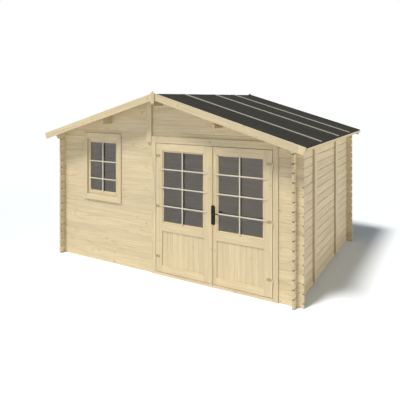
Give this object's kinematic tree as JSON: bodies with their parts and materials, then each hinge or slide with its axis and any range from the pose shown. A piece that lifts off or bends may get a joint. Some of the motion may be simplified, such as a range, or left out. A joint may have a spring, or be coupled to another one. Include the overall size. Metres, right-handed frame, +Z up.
{
  "type": "garden shed",
  "caption": "Garden shed of interlocking spruce logs with a felted ridge roof, glazed double doors that swing outward, a sprung lever handle and a framed window.",
  "frame": {"origin": "on the ground under the middle of the shed", "axes": "+Z up, -Y towards the front with the doors, +X to the right seen from the front"},
  "size_m": [4.199, 3.2908, 2.5461],
  "materials": {
    "spruce": "sawn and planed bare spruce",
    "planed_spruce": "planed bare spruce",
    "roofing_felt": "mineral roofing felt",
    "glass": "clear",
    "zinc": "yellow zinc plate",
    "black_metal": "black satin paint"
  },
  "bodies": {
    "shed": {"left_wall": "spruce", "right_wall": "spruce", "rear_wall": "spruce", "front_wall_left": "spruce", "front_wall_right": "spruce", "front_gable": "spruce", "rear_gable": "spruce", "floor_bearers": "spruce", "ridge_purlin": "spruce", "side_purlins": "spruce", "front_barge_boards": "spruce", "rear_barge_boards": "spruce", "apex_boards": "spruce", "gable_boards": "spruce", "wall_boards": "spruce", "floor_boards": "planed_spruce", "left_roof_boards": "planed_spruce", "right_roof_boards": "planed_spruce", "felt_battens": "planed_spruce", "eave_trims": "planed_spruce", "left_jamb": "planed_spruce", "right_jamb": "planed_spruce", "door_head": "planed_spruce", "door_sill": "planed_spruce", "door_stops": "planed_spruce", "window_frame": "planed_spruce", "window_sash": "planed_spruce", "left_felt": "roofing_felt", "right_felt": "roofing_felt", "window_glass": "glass", "left_jamb_hinges": "zinc", "right_jamb_hinges": "zinc"},
    "left_leaf": {"left_leaf_frame": "planed_spruce", "left_leaf_panel": "spruce", "left_leaf_glass": "glass", "left_leaf_hinges": "zinc"},
    "right_leaf": {"right_leaf_frame": "planed_spruce", "right_leaf_panel": "spruce", "right_leaf_glass": "glass", "closing_strip": "planed_spruce", "right_leaf_hinges": "zinc", "lock_plates": "black_metal"},
    "lever": {"door_lever": "black_metal"}
  },
  "joints": [
    {"name": "left_leaf_swing", "type": "hinge", "parent": "shed", "child": "left_leaf", "pos_m": [-0.0965, -1.435, 0.936], "axis": [0, 0, -1], "range_deg": [0, 110]},
    {"name": "right_leaf_swing", "type": "hinge", "parent": "shed", "child": "right_leaf", "pos_m": [1.6205, -1.435, 0.936], "axis": [0, 0, 1], "range_deg": [0, 110]},
    {"name": "lever_turn", "type": "hinge", "parent": "right_leaf", "child": "lever", "pos_m": [0.813, -1.408, 0.971], "axis": [0, 1, 0], "range_deg": [0, 40], "stiffness_Nm_per_rad": 1.5, "springref_deg": -22.92}
  ]
}
